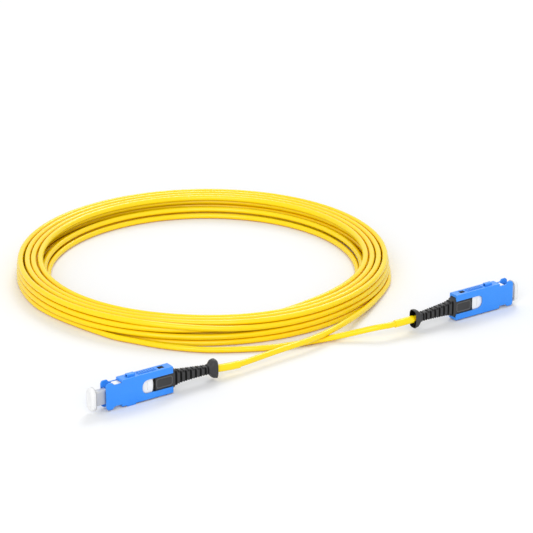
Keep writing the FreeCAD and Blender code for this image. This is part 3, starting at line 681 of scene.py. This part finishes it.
def bootHoop(form, letter, x, width, height, squareness, hollow):
    # The last argument names the sides that take a groove's painted shade: side, roof, all or nothing.
    sizes = bootSizes
    layer = form.verts.layers.float["hollow"]
    bend = max((x - sizes["root"]) / sizes["droop length"], 0) ** sizes["droop bend"]
    drop = sizes["droop"][letter] * bend
    hoop = bmesh.ops.create_circle(form, segments=sizes["corners"], radius=1.0)["verts"]
    for corner in hoop:
        across, up = corner.co.x, corner.co.y
        swell = (abs(across) ** squareness + abs(up) ** squareness) ** (-1 / squareness)
        facing = "side" if abs(across) > abs(up) * sizes["side share"] else "roof"
        corner[layer] = hollow in ("all", facing)
        corner.co = (x, across * swell * width, up * swell * height - drop)
    return hoop


def cheekFrame(form, side):
    # The raised line round a cheek: a rounded plate, inset, with its middle taken out.
    sizes = bootSizes["frame"]
    plate = bmesh.new()
    bmesh.ops.create_grid(plate, x_segments=1, y_segments=1, size=0.5)
    size = (sizes["end"] - sizes["start"], sizes["half height"] * 2, 1)
    bmesh.ops.scale(plate, vec=size, verts=plate.verts)
    bmesh.ops.bevel(plate, geom=plate.verts[:], offset=sizes["corner"], segments=sizes["corner steps"],
                    profile=0.5, affect="VERTICES", material=-1)
    bmesh.ops.inset_region(plate, faces=plate.faces[:], thickness=sizes["line"], use_boundary=True,
                           use_even_offset=True)
    middle = max(plate.faces, key=lambda face: len(face.verts))
    bmesh.ops.delete(plate, geom=[middle], context="FACES")
    bmesh.ops.solidify(plate, geom=plate.faces[:], thickness=sizes["height"] + sizes["sunk"])
    bmesh.ops.rotate(plate, matrix=Matrix.Rotation(math.radians(90), 3, "X"), verts=plate.verts)
    top = max(corner.co.y * side for corner in plate.verts)
    bmesh.ops.translate(plate, verts=plate.verts, vec=(
        (sizes["start"] + sizes["end"]) / 2, side * (sizes["cheek"] + sizes["height"] - top), 0))
    bmesh.ops.recalc_face_normals(plate, faces=plate.faces)
    # the raised line is painted lighter, a painted highlight
    frameHighlight = plate.verts.layers.float.new("frameHighlight")
    for corner in plate.verts:
        corner[frameHighlight] = 1.0
    addForm(form, plate)


def bootFront(letter):
    # The block, cheeks, arms and catch inside the housing come from the solid itself.
    sizes = bootSizes
    front = solidForm(f"boot_{letter}")
    bmesh.ops.transform(front, matrix=plugPlace(letter).inverted(), verts=front.verts)
    cut(front, (sizes["root"] + sizes["overlap"], 0, 0), (1, 0, 0), clear=True)
    closeCut(front)
    shadeLayer = front.verts.layers.float.new("hollow")
    # painted shade: the faces in front of the cheeks, and above and below them, go near black
    gapShade = sizes["gapShade"]
    for plane, direction in ((Vector((gapShade["front"], 0, 0)), Vector((-1, 0, 0))),
                             (Vector((0, 0, gapShade["half height"])), Vector((0, 0, 1))),
                             (Vector((0, 0, -gapShade["half height"])), Vector((0, 0, -1)))):
        for shift in (0, gapShade["blur"]):
            cut(front, plane + direction * shift, direction)
        for corner in front.verts:
            beyond = (corner.co - plane).dot(direction) > gapShade["edge"]
            if beyond and corner.co.x < sizes["root"] - gapShade["before root"]:
                corner[shadeLayer] = 1.0
    # the catch window is flattened and painted near black as painted shade
    for corner in front.verts:
        if corner.co.z > sizes["catch from"]:
            corner.co.z = sizes["catch top"]
            corner[shadeLayer] = 1.0
    return front


def makeBoot(letter):
    sizes = bootSizes
    form = bmesh.new()
    form.verts.layers.float.new("hollow")
    form.verts.layers.float.new("frameHighlight")
    hoops = []
    for x, width, height, sunk in bootStations():
        hoops.append(bootHoop(form, letter, x, width, height, sizes["squareness"], sunk))
    # the collar's neck and the inside of its cup take painted shade
    for name, hollow in (("neck", "all"), ("flare", None), ("cup", "all")):
        for x, width, height in sizes[name]:
            hoops.append(bootHoop(form, letter, x, width, height, sizes["collar squareness"], hollow))
    closedLoft(form, hoops)
    bmesh.ops.recalc_face_normals(form, faces=form.faces)
    addForm(form, bootFront(letter))
    cheekFrame(form, -1)
    cheekFrame(form, 1)
    finished(f"ribbed_boot_{letter}", form, letter, f"housing_{letter}",
             "black boot rubber", f"boot_{letter}")


for letter in ends:
    makeBoot(letter)
print("boots moulded")

# dust caps: a soft rounded flange with a raised border on its face, on a neck that takes both ferrules
# flange holds places, half widths and half heights
capSizes = {
    "corner": 0.9, "corners": 48, "flange back": -0.85, "overlap": 0.05, "drawn": {"a": 2.75, "b": 0.0},
    "flange": [
        (-2.36, 0.9, 2.5), (-2.38, 1.0, 2.6), (-2.46, 1.08, 2.68), (-2.47, 1.2, 2.8), (-2.4, 1.28, 2.88),
        (-2.38, 1.5, 3.1), (-2.32, 1.75, 3.35), (-2.16, 1.95, 3.55), (-1.94, 2.07, 3.67), (-1.7, 2.1, 3.7),
        (-1.2, 2.1, 3.7), (-1.02, 2.06, 3.66), (-0.9, 1.94, 3.54), (-0.85, 1.75, 3.35),
    ],
}


def makeCap(letter):
    sizes = capSizes
    forward = sizes["drawn"][letter]
    form = solidForm(f"dust_cap_{letter}")
    bmesh.ops.transform(form, matrix=plugPlace(letter).inverted(), verts=form.verts)
    cut(form, (sizes["flange back"] - forward - sizes["overlap"], 0, 0), (-1, 0, 0), clear=True)
    closeCut(form)
    turned = Matrix.Rotation(math.pi / sizes["corners"], 4, "Z")
    hoops = []
    for x, width, height in sizes["flange"]:
        hoop = bmesh.ops.create_circle(form, segments=sizes["corners"], radius=1.0, matrix=turned)["verts"]
        corner = width * sizes["corner"]
        for point in hoop:
            across, up = point.co.x, point.co.y
            point.co = (x - forward, math.copysign(width - corner, across) + corner * across,
                        math.copysign(height - corner, up) + corner * up)
        hoops.append(hoop)
    closedLoft(form, hoops)
    finished(f"soft_cap_{letter}", form, letter, f"cap_{letter}",
             "clear-white cap plastic", f"dust_cap_{letter}")


for letter in ends:
    makeCap(letter)
print("caps moulded")

# shrink sleeves round the cable where it leaves each boot
# edge holds how far in an end's rings stand and how much they narrow, in lips; wobble is size, pace, offset
sleeveSizes = {
    "radius": 1.25, "corners": 32, "hoops": 22, "reach": 4,
    "lip": 0.14, "edge": [(0, 1.6), (0, 0.6), (0.4, 0.15), (1, 0)],
    "wobble": [(0.012, 2.3, 0), (0.008, 5.1, 1)],
    "start": {"a": 40.8, "b": 40.5}, "end": {"a": 50.2, "b": 49.0},
}


def sleevePlaces(letter):
    # The points of the cable's line that the sleeve covers, from the boot outwards.
    sizes = sleeveSizes
    start, end = sizes["start"][letter], sizes["end"][letter]
    inward = plugPlace(letter).inverted()
    places = [place for place in cableLine
              if start <= (inward @ place).x <= end and abs((inward @ place).y) < sizes["reach"]]
    return sorted(places, key=lambda place: (inward @ place).x)


def makeSleeve(letter):
    sizes = sleeveSizes
    places = sleevePlaces(letter)
    lengths = [0]
    for before, after in zip(places, places[1:]):
        lengths.append(lengths[-1] + (after - before).length / millimetre)
    whole, lip = lengths[-1], sizes["lip"]
    steps = [(lip * inset, -lip * change) for inset, change in sizes["edge"]]
    steps += [(lip + (whole - 2 * lip) * turn / sizes["hoops"], 0) for turn in range(1, sizes["hoops"])]
    steps += [(whole - lip * inset, -lip * change) for inset, change in reversed(sizes["edge"])]
    form = bmesh.new()
    hoops = []
    for distance, change in steps:
        index = min(max(sum(length <= distance for length in lengths) - 1, 0), len(places) - 2)
        part = (distance - lengths[index]) / (lengths[index + 1] - lengths[index])
        place = places[index].lerp(places[index + 1], part)
        before, after = places[max(index - 1, 0)], places[min(index + 2, len(places) - 1)]
        turned = Matrix.Translation(place) @ (after - before).to_track_quat("Z", "Y").to_matrix().to_4x4()
        wobble = sum(size * math.sin(distance * pace + offset) for size, pace, offset in sizes["wobble"])
        radius = (sizes["radius"] + change + wobble) * millimetre
        hoops.append(bmesh.ops.create_circle(form, segments=sizes["corners"], radius=radius,
                                             matrix=turned)["verts"])
    closedLoft(form, hoops)
    finished(f"bent_sleeve_{letter}", form, None, "cable", "yellow sleeve",
             f"cable_sleeve_{letter}")


for letter in ends:
    makeSleeve(letter)
print("sleeves shrunk on")

# ferrule springs, as merged copies of the solid springs
springSizes = {"spare": 0.02}


def makeSpring(level, letter):
    form = solidForm(f"spring_{level}_{letter}")
    inward = plugPlace(letter).inverted()
    along = [inward @ corner.co for corner in form.verts]
    near, far = min(place.x for place in along), max(place.x for place in along)
    joints = {joint["name"]: joint for joint in frame["record"]["behaviour"]["joints"]}
    joint = joints[f"ferrule_{level}_float_{letter}"]
    travel = joint["range_m"][1] / millimetre
    piece = finished(f"coiled_spring_{level}_{letter}", form, None, "cable", "spring steel",
                     f"spring_{level}_{letter}")
    1 - (travel - springSizes["spare"]) / (far - near)
    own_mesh(piece)


for letter in ends:
    for level in ("upper", "lower"):
        makeSpring(level, letter)
print("springs coiled")

# stage and light: metres, strengths and watts
stageSizes = {
    "floor": 6.0, "floor colour": (0.9, 0.91, 0.925), "floor bounce": (0.85, 0.85, 0.85),
    "floor roughness": 0.9, "world": 0.74,
}
lampSizes = {
    "key from behind": {"place": (0.3, 1.9, 1.9), "size": 1.1, "power": 21.0},
    "front fill": {"place": (-0.3, -1.6, 0.9), "size": 1.5, "power": 17.0},
}


def plainFloor():
    form = bmesh.new()
    bmesh.ops.create_grid(form, x_segments=1, y_segments=1, size=stageSizes["floor"] / 2)
    data = bpy.data.meshes.new("floor")
    form.to_mesh(data)
    form.free()
    floor = bpy.data.objects.new("floor", data)
    bpy.context.scene.collection.objects.link(floor)
    finish = Finish("white table")
    seen = finish.node("ShaderNodeLightPath", output="Is Camera Ray")
    tones = [(*stageSizes[name], 1) for name in ("floor bounce", "floor colour")]
    finish.surface(finish.blend(seen, *tones), stageSizes["floor roughness"], Specular_IOR_Level=0.0)
    floor.data.materials.append(finish.material)


def whiteWorld():
    world = bpy.data.worlds.new("world")
    bpy.context.scene.world = world
    world.use_nodes = True
    sky = Finish("world", world.node_tree)
    seen = sky.node("ShaderNodeLightPath", output="Is Camera Ray")
    mirrored = sky.node("ShaderNodeLightPath", output="Is Glossy Ray")
    through = sky.node("ShaderNodeLightPath", output="Is Transmission Ray")
    direct = (seen + mirrored + through).clamped()
    strength = direct + (1 - direct) * stageSizes["world"]
    light = sky.node("ShaderNodeBackground", {}, {"Color": (1, 1, 1, 1), "Strength": strength})
    sky.node("ShaderNodeOutputWorld", {}, {"Surface": light})


def softLamp(name, place, size, power):
    data = bpy.data.lights.new(name, "AREA")
    data.shape = "SQUARE"
    data.size = size
    data.energy = power
    lamp = bpy.data.objects.new(name, data)
    lamp.location = place
    lamp.rotation_euler = (-Vector(place)).to_track_quat("-Z", "Y").to_euler()
    bpy.context.scene.collection.objects.link(lamp)


plainFloor()
whiteWorld()
for name, lamp in lampSizes.items():
    softLamp(name, lamp["place"], lamp["size"], lamp["power"])
print("stage lit")

print("finished")
